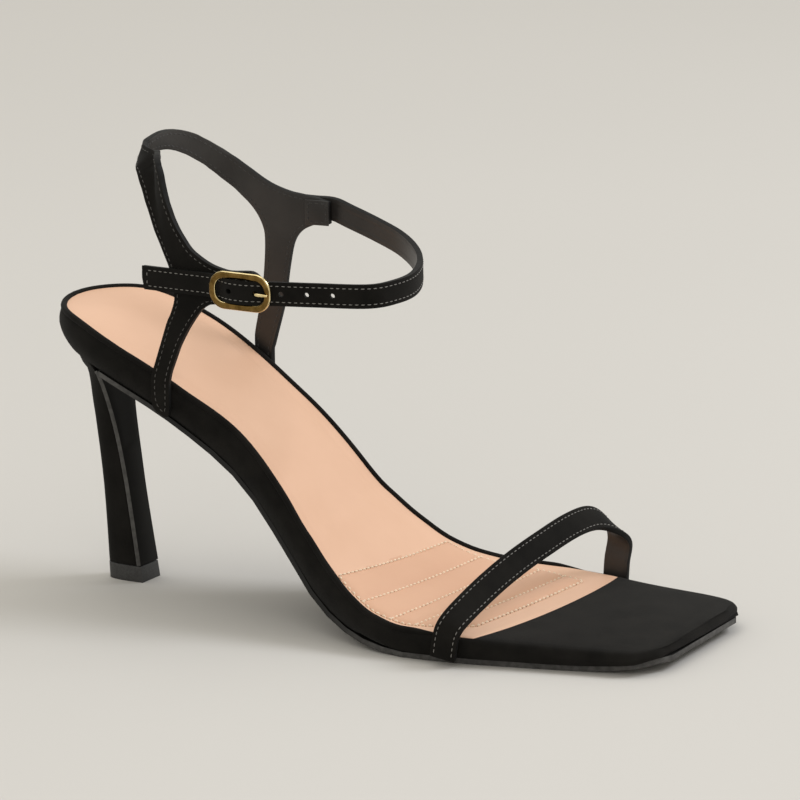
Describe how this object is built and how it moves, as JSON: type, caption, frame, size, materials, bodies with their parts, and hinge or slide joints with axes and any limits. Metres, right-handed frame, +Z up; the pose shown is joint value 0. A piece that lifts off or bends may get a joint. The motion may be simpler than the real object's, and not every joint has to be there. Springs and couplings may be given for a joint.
{
  "type": "high heel sandal",
  "caption": "Square-toe ankle-strap sandal for the right foot on a slim high heel, with a toe strap, heel sling and buckle.",
  "frame": {"origin": "middle of the bounding box, on the floor that the shoe stands on", "axes": "+X towards the toe, +Y towards the inner side of the right foot, +Z up"},
  "size_m": [0.22, 0.0892, 0.1447],
  "materials": {
    "nubuck": "black napped leather",
    "lining": "smooth charcoal lining leather",
    "insole": "matt beige leather",
    "sole_rubber": "satin dark outsole",
    "top_piece_rubber": "matt dark grey",
    "gold_metal": "polished gold plating"
  },
  "bodies": {
    "root": {"footbed": "nubuck", "insole": "insole", "outsole": "sole_rubber", "heel": "nubuck", "top_piece": "top_piece_rubber", "rear_upper": "nubuck", "vamp_strap": "nubuck", "ankle_strap": "nubuck", "strap_patch": "lining", "buckle_frame": "gold_metal", "buckle_prong": "gold_metal", "buckle_tab": "lining"}
  },
  "joints": []
}
